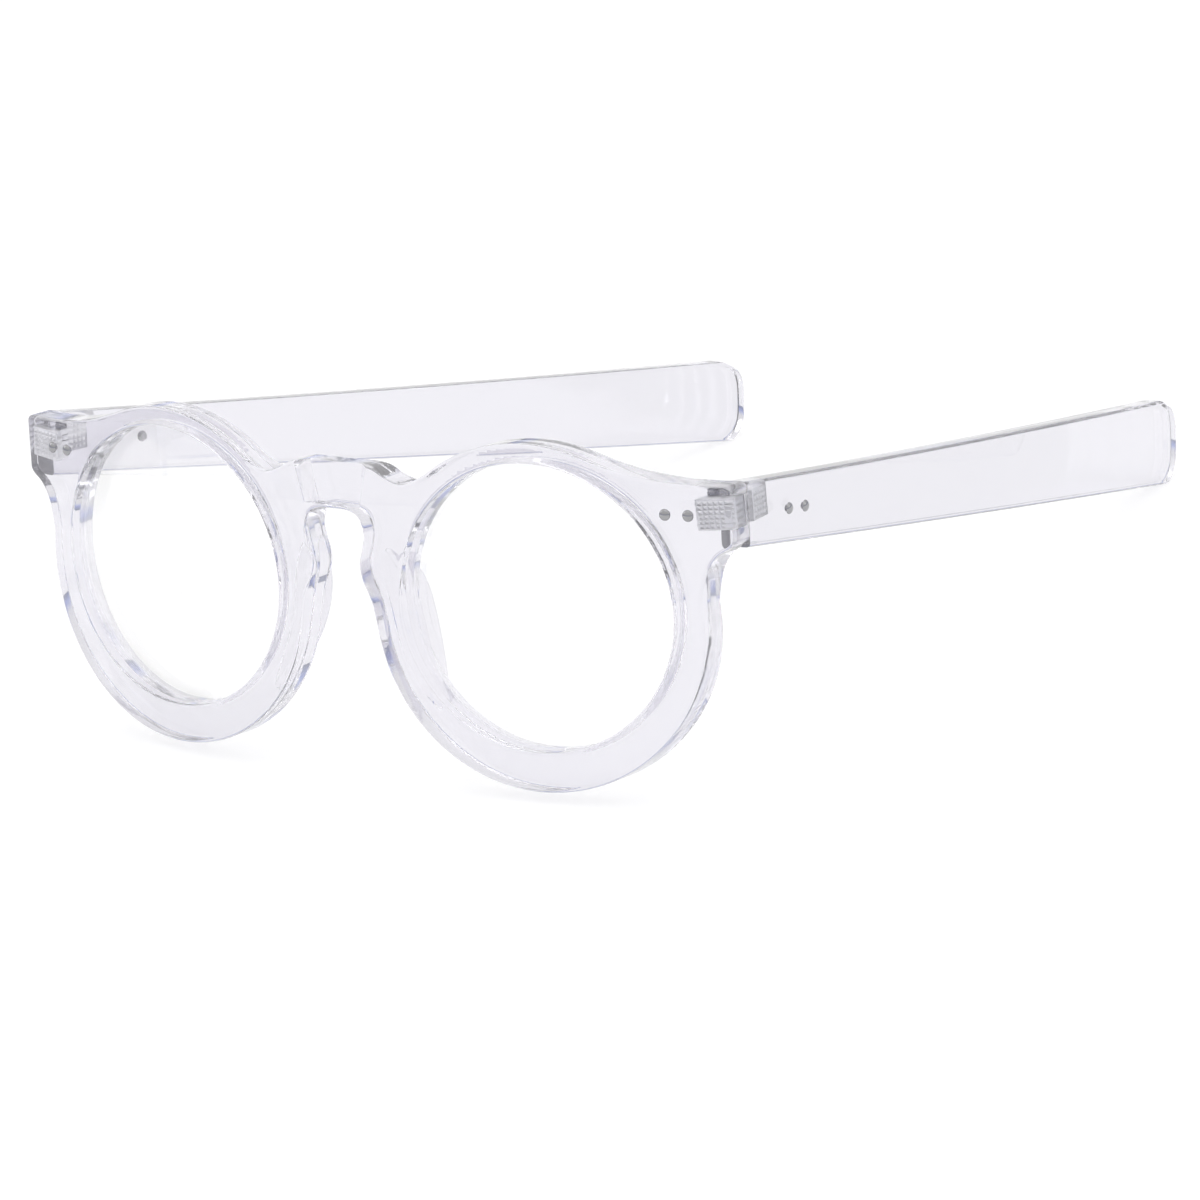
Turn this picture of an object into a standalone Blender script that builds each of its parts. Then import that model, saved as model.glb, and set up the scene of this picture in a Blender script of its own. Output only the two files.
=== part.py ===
"""Clear round eyeglasses: one bowed front, two lenses, two nose pads and two folding temples.

The front is drawn in the plane x, z (its width and height) and its depth runs along +Y, towards the
wearer. A stance empty then leans the whole object back until it stands on its rims and temple tips.
Left and right are the wearer's, who looks along -Y, so the left side is at +X.

The straight temples are longer than the front is wide, so each hinge pin leans a little, inwards and
forwards at its top. A folding temple then dips, and its tip passes below the other temple.
"""
import math

import bmesh
import bpy
from mathutils import Matrix, Vector

MM = 0.001

# Front: lens openings, rims and the bow of the whole front
LENS_CENTRE_X = 34.0 * MM
OPENING_HALF_WIDTH = 22.5 * MM
OPENING_HALF_HEIGHT = 21.0 * MM
OPENING_LEAN = math.radians(5)
RIM_HALF_WIDTH = 27.2 * MM
RIM_HALF_HEIGHT = 25.4 * MM
RIM_CENTRE_DROP = 1.5 * MM
FRONT_THICKNESS = 5.0 * MM
FRONT_BOW_RADIUS = 283.0 * MM
EDGE_ROUNDING = 0.6 * MM
FRONT_STRIP = 4.0 * MM

# Bridge and end pieces
BRIDGE_TOP = 18.7 * MM
KEYHOLE_TOP = 12.0 * MM
RECESS_DEPTH = 1.7 * MM
RECESS_FLOOR = 4.3 * MM
RECESS_MOUTH = 6.0 * MM
RECESS_BOTTOM = 12.6 * MM
RECESS_TAPER = 45.0
END_PIECE_X = 65.9 * MM
END_PIECE_TOP = 19.3 * MM
END_PIECE_BACK = 12.1 * MM
END_PIECE_INNER_X = 50.0 * MM

# Lenses
LENS_RIM_GAP = 0.15 * MM
LENS_EDGE_THICKNESS = 1.8 * MM
LENS_BEVEL_HEIGHT = 0.6 * MM
GROOVE_GAP = 0.15 * MM
GROOVE_START = 0.5 * MM
GROOVE_HALF_FLOOR = 1.0 * MM
LENS_DOME = 1.2 * MM

# Temples
TEMPLE_TOE_IN = math.radians(8.5)
TEMPLE_LENGTH = 145.8 * MM
TEMPLE_THICKNESS = 3.8 * MM
TEMPLE_ROUNDING = 0.7 * MM
TIP_CORNER = 4.8 * MM
JOINT_GAP = 0.15 * MM

# Hinges: distances from the outer corner of the end piece's back, along and across the temple
PIN_INSET = 5.0 * MM
PIN_SETBACK = 1.25 * MM
HINGE_MIDDLE_Z = 15.0 * MM
HINGE_HEIGHT = 4.5 * MM
KNUCKLE_RADIUS = 1.1 * MM
KNUCKLE_GAP = 0.1 * MM
SCREW_RADIUS = 0.5 * MM
SCREW_CLEARANCE = 0.06 * MM
POCKET_GAP = 0.08 * MM
WEB_SHARE = 0.95
SCREW_HEAD_RADIUS = 0.95 * MM
SCREW_HEAD_HEIGHT = 0.6 * MM
SCREW_SLOT_HALF_WIDTH = 0.12 * MM
SCREW_END = 0.2 * MM
KNUCKLES = 5

# The pin's slopes at its top, towards the nose and towards the front
PIN_LEAN_IN = 0.075
PIN_LEAN_FORWARD = 0.040

# Hinge leaves: the front's reach across the end piece, the temple's along the temple
LEAF_U = (-6.6 * MM, -0.9 * MM)
LEAF_DEPTH = 2.4 * MM
LEAF_SKIN = 0.05 * MM
TEMPLE_LEAF_S = (2.6 * MM, 6.9 * MM)
TEMPLE_LEAF_DEPTH = 2.3 * MM
TEMPLE_LEAF_SKIN = 0.02 * MM
LEAF_BRIDGE = 0.9 * MM
LEAF_OVERLAP = 0.5 * MM

# Cutters reach this far out of the surface that they cut
OVERCUT = 1.0 * MM

# Nose pads
PAD_GAP = 0.12 * MM
PAD_EDGE_THICKNESS = 1.3 * MM
PAD_ROUNDING = 0.45 * MM
# height, root's nose side, root's lens side, then the free edge's middle and depth, all in mm
PAD_SECTIONS = [
    (6.0, 6.2, 9.0, 7.8, 5.9),
    (3.4, 5.6, 9.8, 8.4, 8.0),
    (0.8, 6.3, 10.4, 9.0, 9.6),
    (-2.4, 7.3, 10.9, 9.5, 10.2),
    (-6.0, 7.9, 11.6, 10.3, 10.2),
    (-9.6, 9.0, 12.9, 11.5, 9.5),
    (-13.2, 10.8, 14.6, 13.1, 8.1),
    (-16.6, 13.4, 16.4, 15.1, 6.2),
]

# Rivets
RIVET_HEAD_RADIUS = 0.85 * MM
RIVET_SHANK_RADIUS = 0.5 * MM
RIVET_HEAD_HEIGHT = 0.5 * MM
RIVET_DEPTH = 1.1 * MM
RIVET_GAP = 0.05 * MM
FRONT_RIVETS_X = (56.2 * MM, 59.7 * MM)
TEMPLE_RIVETS_S = (12.2 * MM, 17.1 * MM)

# How far the standing glasses lean back on their temple tips
STANCE_LEAN = math.radians(6.9)

SIDES = {"left": 1, "right": -1}
COLLECTION_NAME = "eyeglasses"


def clear_scene():
    for old in list(bpy.data.objects):
        bpy.data.objects.remove(old, do_unlink=True)


def new_collection(name):
    collection = bpy.data.collections.new(name)
    bpy.context.scene.collection.children.link(collection)
    return collection


def new_material(name, colour, roughness, metallic=0.0, transmission=0.0):
    material = bpy.data.materials.new(name)
    material.use_nodes = True
    shader = material.node_tree.nodes["Principled BSDF"]
    shader.inputs["Base Color"].default_value = (*colour, 1)
    shader.inputs["Roughness"].default_value = roughness
    shader.inputs["Metallic"].default_value = metallic
    shader.inputs["Transmission Weight"].default_value = transmission
    material.diffuse_color = (*colour, 1)
    return material


clear_scene()
parts = new_collection(COLLECTION_NAME)
cutters = new_collection("cutters")
materials = {
    "clear_plastic": new_material("clear_plastic", (0.88, 0.88, 0.93), 0.05, transmission=0.9),
    "pad_plastic": new_material("pad_plastic", (0.84, 0.84, 0.90), 0.08, transmission=0.9),
    "lens": new_material("lens", (0.95, 0.97, 0.98), 0.02, transmission=1.0),
    "hinge_steel": new_material("hinge_steel", (0.62, 0.62, 0.63), 0.35, metallic=1.0),
    "polished_steel": new_material("polished_steel", (0.80, 0.80, 0.82), 0.15, metallic=1.0),
    "screw_steel": new_material("screw_steel", (0.35, 0.35, 0.37), 0.25, metallic=1.0),
}


# ---------------------------------------------------------------- small mesh helpers

def add_object(name, mesh, collection, material=None, parent=None):
    piece = bpy.data.objects.new(name, mesh)
    collection.objects.link(piece)
    if material:
        mesh.materials.clear()
        mesh.materials.append(materials[material])
    piece.parent = parent
    return piece


def finished_mesh(piece, name):
    """The piece as its modifiers leave it, as a new mesh; the piece itself is removed."""
    graph = bpy.context.evaluated_depsgraph_get()
    graph.update()
    mesh = bpy.data.meshes.new_from_object(piece.evaluated_get(graph))
    mesh.name = name
    mesh.transform(piece.matrix_world)
    bpy.data.objects.remove(piece, do_unlink=True)
    return mesh


def cleaned(mesh, distance=0.01 * MM):
    work = bmesh.new()
    work.from_mesh(mesh)
    bmesh.ops.remove_doubles(work, verts=work.verts, dist=distance)
    bmesh.ops.recalc_face_normals(work, faces=work.faces)
    work.to_mesh(mesh)
    work.free()
    return mesh


def mirrored_mesh(mesh, name):
    copy = mesh.copy()
    copy.name = name
    copy.transform(Matrix.Scale(-1, 4, (1, 0, 0)))
    copy.flip_normals()
    return copy


def plate(outlines, thickness, name="plate"):
    """A flat plate with holes, from closed outlines in x, z; its depth runs from y = 0 to thickness."""
    curve = bpy.data.curves.new(name, "CURVE")
    curve.dimensions = "2D"
    curve.fill_mode = "BOTH"
    curve.extrude = thickness / 2
    for points in outlines:
        spline = curve.splines.new("POLY")
        spline.points.add(len(points) - 1)
        for knot, (x, z) in zip(spline.points, points):
            knot.co = (x, z, 0, 1)
        spline.use_cyclic_u = True
    drawing = bpy.data.objects.new(name, curve)
    cutters.objects.link(drawing)
    mesh = finished_mesh(drawing, name)
    mesh.transform(Matrix.Translation((0, thickness / 2, 0)) @ Matrix.Rotation(math.pi / 2, 4, "X"))
    return cleaned(mesh)


def box_mesh(low, high, name="box"):
    work = bmesh.new()
    bmesh.ops.create_cube(work, size=1)
    size = Vector(high) - Vector(low)
    middle = (Vector(high) + Vector(low)) / 2
    bmesh.ops.scale(work, vec=size, verts=work.verts)
    bmesh.ops.translate(work, vec=middle, verts=work.verts)
    mesh = bpy.data.meshes.new(name)
    work.to_mesh(mesh)
    work.free()
    return mesh


def cylinder_mesh(radius, low_z, high_z, sides=20, name="cylinder"):
    work = bmesh.new()
    bmesh.ops.create_cone(work, cap_ends=True, segments=sides, radius1=radius, radius2=radius,
                          depth=high_z - low_z)
    bmesh.ops.translate(work, vec=(0, 0, (high_z + low_z) / 2), verts=work.verts)
    mesh = bpy.data.meshes.new(name)
    work.to_mesh(mesh)
    work.free()
    return mesh


def boolean(piece, mesh, operation="DIFFERENCE"):
    """Cuts or joins a mesh with a Boolean modifier whose other body stays as a hidden guide."""
    guide = add_object(f"{piece.name}_{operation.lower()}", mesh, cutters, parent=piece.parent)
    guide.hide_render = True
    guide.display_type = "WIRE"
    change = piece.modifiers.new(operation.lower(), "BOOLEAN")
    change.operation = operation
    change.solver = "EXACT"
    change.object = guide
    return guide


def add_bevel(piece, width, segments, angle=math.radians(40)):
    rounding = piece.modifiers.new("rounding", "BEVEL")
    rounding.width = width
    rounding.segments = segments
    rounding.limit_method = "ANGLE"
    rounding.angle_limit = angle
    rounding.use_clamp_overlap = True


def smooth_shade(mesh, angle=math.radians(35)):
    mesh.shade_smooth()
    mesh.set_sharp_from_angle(angle=angle)


# ---------------------------------------------------------------- outlines

def ellipse_point(centre_x, centre_z, half_width, half_height, angle, lean=0.0):
    across = half_width * math.cos(angle)
    up = half_height * math.sin(angle)
    return (centre_x + across * math.cos(lean) - up * math.sin(lean),
            centre_z + across * math.sin(lean) + up * math.cos(lean))


def rim_arc(start_degrees, end_degrees, steps):
    angles = [math.radians(start_degrees + (end_degrees - start_degrees) * i / steps)
              for i in range(steps + 1)]
    return [ellipse_point(LENS_CENTRE_X, -RIM_CENTRE_DROP, RIM_HALF_WIDTH, RIM_HALF_HEIGHT, a)
            for a in angles]


def smooth_through(knots, steps):
    """Catmull-Rom points through all knots but the first and last, which only give the direction."""
    points = []
    for i in range(1, len(knots) - 2):
        before, here, there, after = [Vector(k) for k in knots[i - 1:i + 3]]
        for step in range(steps):
            t = step / steps
            points.append(tuple(0.5 * (2 * here + (there - before) * t
                                       + (2 * before - 5 * here + 4 * there - after) * t * t
                                       + (3 * here - before - 3 * there + after) * t ** 3)))
    return points


def millimetres(*pairs):
    return [(x * MM, z * MM) for x, z in pairs]


def front_half_outline():
    """The left half from the bridge's top round the rim to the top of the keyhole."""
    over_top = rim_arc(129, 68, 14)
    under = rim_arc(8, -172, 44)
    bridge = smooth_through([(-7 * MM, BRIDGE_TOP), (0, BRIDGE_TOP),
                             *millimetres((6.8, 18.6), (10.2, 17.2), (13.0, 16.6)),
                             over_top[0], over_top[1]], 3)
    end_x, end_top = END_PIECE_X, END_PIECE_TOP
    brow = smooth_through([over_top[-2], over_top[-1], *millimetres((50.5, 20.35), (57.5, 19.45)),
                           (end_x - 1.0 * MM, end_top), (end_x + 3 * MM, end_top)], 3)
    end_piece = [(end_x - 1.0 * MM, end_top), (end_x - 0.3 * MM, end_top - 0.3 * MM),
                 (end_x, end_top - 1.0 * MM), (end_x, 11.4 * MM), (end_x - 0.35 * MM, 10.7 * MM)]
    fillet = smooth_through([(end_x, 11.4 * MM), (end_x - 0.9 * MM, 10.2 * MM),
                             *millimetres((63.3, 9.0), (61.8, 6.6)), under[0], under[1]], 3)
    keyhole = smooth_through([under[-2], under[-1],
                              *millimetres((6.2, -1.2), (4.8, 1.8), (4.4, 4.2), (5.1, 6.8), (5.4, 9.0),
                                           (4.6, 11.0), (2.8, 11.9)),
                              (0, KEYHOLE_TOP), (-2.8 * MM, 11.9 * MM)], 3)
    return (bridge + over_top[:-1] + brow + end_piece + fillet + under[:-1] + keyhole
            + [(0, KEYHOLE_TOP)])


def full_outline(half):
    mirrored = [(-x, z) for x, z in reversed(half) if x > 0.001 * MM]
    return half + mirrored


def opening_outline(side, growth=0.0, steps=56):
    points = [ellipse_point(LENS_CENTRE_X, 0, OPENING_HALF_WIDTH + growth,
                            OPENING_HALF_HEIGHT + growth, 2 * math.pi * i / steps, OPENING_LEAN)
              for i in range(steps)]
    return [(side * x, z) for x, z in points]


def bow_depth(x):
    return x * x / (2 * FRONT_BOW_RADIUS)


def bow(mesh, strip=None):
    """Bends a flat mesh to the front's bow; strips across it first keep the flat faces narrow."""
    work = bmesh.new()
    work.from_mesh(mesh)
    if strip:
        reach = max(abs(v.co.x) for v in work.verts)
        count = int(reach / strip)
        for i in range(-count, count + 1):
            everything = work.verts[:] + work.edges[:] + work.faces[:]
            bmesh.ops.bisect_plane(work, geom=everything, plane_co=(i * strip, 0, 0),
                                   plane_no=(1, 0, 0), dist=0.02 * MM)
        bmesh.ops.remove_doubles(work, verts=work.verts, dist=0.05 * MM)
    for vertex in work.verts:
        vertex.co.y += bow_depth(vertex.co.x)
    bmesh.ops.recalc_face_normals(work, faces=work.faces)
    work.to_mesh(mesh)
    work.free()
    return mesh


# ---------------------------------------------------------------- places on the hinge

CORNER = Vector((END_PIECE_X, END_PIECE_BACK, 0))
ALONG = Vector((-math.sin(TEMPLE_TOE_IN), math.cos(TEMPLE_TOE_IN), 0))
OUTWARD = Vector((math.cos(TEMPLE_TOE_IN), math.sin(TEMPLE_TOE_IN), 0))
TEMPLE_FRAME = Matrix.Translation(CORNER) @ Matrix.Rotation(TEMPLE_TOE_IN, 4, "Z")
PIN = CORNER - PIN_INSET * OUTWARD + PIN_SETBACK * ALONG + Vector((0, 0, HINGE_MIDDLE_Z))
PIN_AXIS = Vector((-PIN_LEAN_IN, -PIN_LEAN_FORWARD, 1)).normalized()
PIN_LEAN = Vector((0, 0, 1)).rotation_difference(PIN_AXIS).to_matrix().to_4x4()


def temple_box(low, high):
    """A box given as outward, along, up in the left temple's frame, put in the front's frame."""
    mesh = box_mesh(low, high)
    mesh.transform(TEMPLE_FRAME)
    return mesh


def pin_cylinder(radius, low_z, high_z, sides=20):
    mesh = cylinder_mesh(radius, low_z, high_z, sides)
    mesh.transform(Matrix.Translation(PIN))
    return mesh


def leaned(mesh):
    """Tips a hinge mesh, drawn with its pin upright, over to the pin's real lean."""
    mesh.transform(Matrix.Translation(PIN) @ PIN_LEAN @ Matrix.Translation(-PIN))
    return mesh


stance = bpy.data.objects.new("stance", None)
parts.objects.link(stance)
hinge_axes = {}
for side_name, sign in SIDES.items():
    axis = bpy.data.objects.new(f"hinge_axis_{side_name}", None)
    parts.objects.link(axis)
    axis.parent = stance
    axis.location = (sign * PIN.x, PIN.y, PIN.z)
    hinge_axes[side_name] = axis


def place_pair(name, mesh, material, moving):
    """Places a left-hand mesh and its mirror image; moving pieces have their origin on the pin."""
    for side_name, sign in SIDES.items():
        node = f"{name}_{side_name}"
        if sign > 0:
            shape = mesh.copy()
            shape.name = node
        else:
            shape = mirrored_mesh(mesh, node)
        parent = stance
        if moving:
            parent = hinge_axes[side_name]
            shape.transform(Matrix.Translation(-parent.location))
        smooth_shade(shape)
        add_object(node, shape, parts, material, parent)


# ---------------------------------------------------------------- front frame

def lens_disc(side, growth, half_edge, apex, dome, rings=1):
    """A lens blank with a V edge, before it is bowed: half_edge at the wall, one ridge at its apex."""
    middle_depth = FRONT_THICKNESS / 2
    work = bmesh.new()
    loops = []
    inner_rings = [(ring / (rings + 1), -1) for ring in range(1, rings + 1)]
    stack = inner_rings + [(1, -1), (None, 0), (1, 1)] + [(r, 1) for r, _ in reversed(inner_rings)]
    for fraction, face in stack:
        if fraction is None:
            outline = opening_outline(side, growth + apex)
            depth = middle_depth
        else:
            outline = opening_outline(side, growth)
            centre = side * LENS_CENTRE_X
            outline = [(centre + (x - centre) * fraction, z * fraction) for x, z in outline]
            depth = middle_depth + face * half_edge - dome * (1 - fraction ** 2)
        loops.append([work.verts.new((x, depth, z)) for x, z in outline])
    for lower, upper in zip(loops, loops[1:]):
        for i in range(len(lower)):
            j = (i + 1) % len(lower)
            work.faces.new((lower[i], lower[j], upper[j], upper[i]))
    for loop, face in ((loops[0], -1), (loops[-1], 1)):
        depth = middle_depth + face * half_edge - dome
        centre = work.verts.new((side * LENS_CENTRE_X, depth, 0))
        for i in range(len(loop)):
            work.faces.new((loop[i], loop[(i + 1) % len(loop)], centre))
    bmesh.ops.recalc_face_normals(work, faces=work.faces)
    mesh = bpy.data.meshes.new("lens_blank")
    work.to_mesh(mesh)
    work.free()
    return mesh


def bridge_recess():
    """The hollowed face of the bridge: a flat floor between two sloping facets, wider at the top."""
    floor, mouth, depth = RECESS_FLOOR, RECESS_MOUTH, RECESS_DEPTH
    outline = [(-mouth, -OVERCUT), (mouth, -OVERCUT), (mouth, bow_depth(mouth)), (floor, depth),
               (-floor, depth), (-mouth, bow_depth(mouth))]
    height = BRIDGE_TOP + OVERCUT - RECESS_BOTTOM
    mesh = plate([outline], height, "bridge_recess")
    mesh.transform(Matrix.Translation((0, 0, RECESS_BOTTOM + height))
                   @ Matrix.Rotation(-math.pi / 2, 4, "X"))
    for vertex in mesh.vertices:
        vertex.co.x *= 1 + RECESS_TAPER * (vertex.co.z - (RECESS_BOTTOM + BRIDGE_TOP) / 2)
    return cleaned(mesh)


def rivet_profile(head, shank, height, depth, steps=4):
    """Radius and height from the domed top down to the foot, with the axis left open."""
    dome = [(head * math.sin(math.pi / 2 * i / steps), height * math.cos(math.pi / 2 * i / steps))
            for i in range(steps + 1)]
    return dome + [(shank, 0), (shank, -depth), (0, -depth)]


def turned(profile, steps, name):
    """A profile of radius and height, turned round Z with a Screw modifier."""
    work = bmesh.new()
    points = [work.verts.new((r, 0, z)) for r, z in profile]
    for a, b in zip(points, points[1:]):
        work.edges.new((a, b))
    mesh = bpy.data.meshes.new(name)
    work.to_mesh(mesh)
    work.free()
    piece = add_object(name, mesh, cutters)
    turn = piece.modifiers.new("turn", "SCREW")
    turn.steps = steps
    turn.render_steps = steps
    turn.use_merge_vertices = True
    turn.merge_threshold = 0.00001
    return cleaned(finished_mesh(piece, name), 0.002 * MM)


def front_rivet_frame(x):
    slope = math.atan2(x, FRONT_BOW_RADIUS)
    return (Matrix.Translation((x, bow_depth(x), HINGE_MIDDLE_Z)) @ Matrix.Rotation(slope, 4, "Z")
            @ Matrix.Rotation(math.pi / 2, 4, "X"))


def temple_middle_z(s):
    return (temple_top(s) + temple_bottom(s)) / 2


def temple_rivet_frame(s):
    return (TEMPLE_FRAME @ Matrix.Translation((0, s, temple_middle_z(s)))
            @ Matrix.Rotation(math.pi / 2, 4, "Y"))


def rivet_hole():
    return cylinder_mesh(RIVET_SHANK_RADIUS + RIVET_GAP, -RIVET_DEPTH - 2 * RIVET_GAP, OVERCUT, 12)


def flatten_mitres(mesh):
    """Trims the end pieces' backs to the flat faces that the temples close against."""
    for vertex in mesh.vertices:
        here = Vector((abs(vertex.co.x), vertex.co.y, 0))
        excess = (here - CORNER).dot(ALONG)
        if excess > 0 and here.x > END_PIECE_INNER_X:
            vertex.co.y -= excess / ALONG.y
    return mesh


def make_front():
    outlines = [full_outline(front_half_outline()), opening_outline(1), opening_outline(-1)]
    mesh = flatten_mitres(bow(plate(outlines, FRONT_THICKNESS, "front"), strip=FRONT_STRIP))
    shaped = add_object("front_blank", mesh, cutters)
    add_bevel(shaped, EDGE_ROUNDING, 2)
    front = add_object("front_frame", cleaned(finished_mesh(shaped, "front_frame")), parts,
                       "clear_plastic", stance)
    boolean(front, bridge_recess())
    for side in SIDES.values():
        groove = lens_disc(side, -GROOVE_START, GROOVE_HALF_FLOOR + LENS_BEVEL_HEIGHT,
                           GROOVE_START + LENS_BEVEL_HEIGHT + GROOVE_GAP, 0.0, rings=0)
        boolean(front, bow(groove))
        half_height = HINGE_HEIGHT / 2 + POCKET_GAP
        pocket = leaned(temple_box(
            (LEAF_U[0] - POCKET_GAP, -LEAF_DEPTH - POCKET_GAP, HINGE_MIDDLE_Z - half_height),
            (LEAF_U[1] + POCKET_GAP, OVERCUT, HINGE_MIDDLE_Z + half_height)))
        holes = []
        for x in FRONT_RIVETS_X:
            hole = rivet_hole()
            hole.transform(front_rivet_frame(x))
            holes.append(hole)
        for cut in (pocket, *holes):
            boolean(front, cut if side > 0 else mirrored_mesh(cut, "cut"))
    smooth_shade(front.data)
    return front


# ---------------------------------------------------------------- lenses

def make_lens():
    mesh = lens_disc(1, -LENS_RIM_GAP, LENS_EDGE_THICKNESS / 2, LENS_RIM_GAP + LENS_BEVEL_HEIGHT,
                     LENS_DOME, rings=4)
    return bow(mesh)


# ---------------------------------------------------------------- nose pads

def make_nose_pad():
    """A wing that stands on the rim's back and leans outwards, lofted from four-cornered sections."""
    work = bmesh.new()
    sections = []
    for height, nose_x, lens_x, edge_x, edge_y in PAD_SECTIONS:
        nose_x, lens_x, edge_x = nose_x * MM, lens_x * MM, edge_x * MM
        half_edge = PAD_EDGE_THICKNESS / 2
        root = FRONT_THICKNESS + PAD_GAP
        corners = [(nose_x, root + bow_depth(nose_x)), (lens_x, root + bow_depth(lens_x)),
                   (edge_x + half_edge, edge_y * MM), (edge_x - half_edge, edge_y * MM)]
        sections.append([work.verts.new((x, y, height * MM)) for x, y in corners])
    for upper, lower in zip(sections, sections[1:]):
        for i in range(4):
            j = (i + 1) % 4
            work.faces.new((upper[i], upper[j], lower[j], lower[i]))
    work.faces.new(sections[0])
    work.faces.new(list(reversed(sections[-1])))
    bmesh.ops.recalc_face_normals(work, faces=work.faces)
    mesh = bpy.data.meshes.new("nose_pad")
    work.to_mesh(mesh)
    work.free()
    pad = add_object("nose_pad_blank", mesh, cutters)
    add_bevel(pad, PAD_ROUNDING, 2, math.radians(30))
    return cleaned(finished_mesh(pad, "nose_pad"))


# ---------------------------------------------------------------- temples

def temple_top(s):
    return 19.2 * MM - 0.124 * s + 0.00008 / MM * s * s


def temple_bottom(s):
    return 10.0 * MM - 0.148 * s + 0.00004 / MM * s * s


def temple_outline():
    start, end = JOINT_GAP, TEMPLE_LENGTH
    steps = 8
    reach = end - TIP_CORNER
    top = [(start + (reach - start) * i / steps) for i in range(steps + 1)]
    points = [(s, temple_top(s)) for s in top]
    points += [(end - 2.6 * MM, temple_top(end) - 0.5 * MM),
               (end - 0.9 * MM, temple_top(end) - 1.7 * MM), (end, temple_top(end) - 4.2 * MM),
               (end - 0.2 * MM, temple_bottom(end) + 4.4 * MM),
               (end - 1.2 * MM, temple_bottom(end) + 2.0 * MM),
               (end - 3.2 * MM, temple_bottom(end) + 0.5 * MM)]
    points += [(s - 1.2 * MM, temple_bottom(s)) for s in reversed(top[1:])]
    points.append((start, temple_bottom(start)))
    return points


def make_temple():
    mesh = plate([temple_outline()], TEMPLE_THICKNESS, "temple")
    work = bmesh.new()
    work.from_mesh(mesh)
    for vertex in work.verts:
        s, depth = vertex.co.x, vertex.co.y
        vertex.co.x = -depth
        vertex.co.y = s
    bmesh.ops.recalc_face_normals(work, faces=work.faces)
    work.to_mesh(mesh)
    work.free()
    mesh.transform(TEMPLE_FRAME)
    blank = add_object("temple_blank", mesh, cutters)
    add_bevel(blank, TEMPLE_ROUNDING, 2)
    bar = add_object("temple", cleaned(finished_mesh(blank, "temple")), cutters)
    inner = -TEMPLE_THICKNESS
    half_height = HINGE_HEIGHT / 2 + POCKET_GAP
    low_z, high_z = HINGE_MIDDLE_Z - half_height, HINGE_MIDDLE_Z + half_height
    boolean(bar, leaned(temple_box(
        (inner - OVERCUT, TEMPLE_LEAF_S[0] - POCKET_GAP, low_z),
        (inner + TEMPLE_LEAF_DEPTH + POCKET_GAP, TEMPLE_LEAF_S[1] + POCKET_GAP, high_z))))
    boolean(bar, leaned(temple_box(
        (inner - OVERCUT, -OVERCUT, low_z),
        (inner + LEAF_BRIDGE + POCKET_GAP, TEMPLE_LEAF_S[1], high_z))))
    for s in TEMPLE_RIVETS_S:
        hole = rivet_hole()
        hole.transform(temple_rivet_frame(s))
        boolean(bar, hole)
    return cleaned(finished_mesh(bar, "temple"))


# ---------------------------------------------------------------- hinges

def knuckle_span(index):
    pitch = HINGE_HEIGHT / KNUCKLES
    low = -HINGE_HEIGHT / 2 + index * pitch
    gap = KNUCKLE_GAP / 2
    return (low + (gap if index else 0), low + pitch - (gap if index < KNUCKLES - 1 else 0))


def hinge_half(leaf, webs, indices, name):
    """A leaf with its knuckles, all joined, and the pin's hole cut through them."""
    piece = add_object(name, leaf, cutters)
    for index in indices:
        low, high = knuckle_span(index)
        boolean(piece, pin_cylinder(KNUCKLE_RADIUS, low, high), "UNION")
        (u0, s0), (u1, s1) = webs
        boolean(piece, temple_box((u0, s0, HINGE_MIDDLE_Z + low), (u1, s1, HINGE_MIDDLE_Z + high)),
                "UNION")
    boolean(piece, pin_cylinder(SCREW_RADIUS + SCREW_CLEARANCE, -HINGE_HEIGHT, HINGE_HEIGHT, 16))
    return leaned(cleaned(finished_mesh(piece, name)))


def make_front_hinge():
    half = HINGE_HEIGHT / 2
    leaf = temple_box((LEAF_U[0], -LEAF_DEPTH, HINGE_MIDDLE_Z - half),
                      (LEAF_U[1], -LEAF_SKIN, HINGE_MIDDLE_Z + half))
    half_web = KNUCKLE_RADIUS * WEB_SHARE
    webs = ((-PIN_INSET - half_web, -LEAF_DEPTH / 2), (-PIN_INSET + half_web, PIN_SETBACK))
    return hinge_half(leaf, webs, range(0, KNUCKLES, 2), "front_hinge")


def make_temple_hinge():
    half = HINGE_HEIGHT / 2
    inner = -TEMPLE_THICKNESS
    skin = inner + TEMPLE_LEAF_SKIN
    leaf = temple_box((skin, TEMPLE_LEAF_S[0], HINGE_MIDDLE_Z - half),
                      (inner + TEMPLE_LEAF_DEPTH, TEMPLE_LEAF_S[1], HINGE_MIDDLE_Z + half))
    piece = add_object("leaf_bridge", leaf, cutters)
    boolean(piece, temple_box(
        (skin, JOINT_GAP, HINGE_MIDDLE_Z - half),
        (inner + LEAF_BRIDGE, TEMPLE_LEAF_S[0] + LEAF_OVERLAP, HINGE_MIDDLE_Z + half)), "UNION")
    leaf = cleaned(finished_mesh(piece, "leaf"))
    webs = ((-PIN_INSET, JOINT_GAP),
            (inner + LEAF_BRIDGE / 2, PIN_SETBACK + KNUCKLE_RADIUS * WEB_SHARE))
    return hinge_half(leaf, webs, range(1, KNUCKLES, 2), "temple_hinge")


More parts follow.
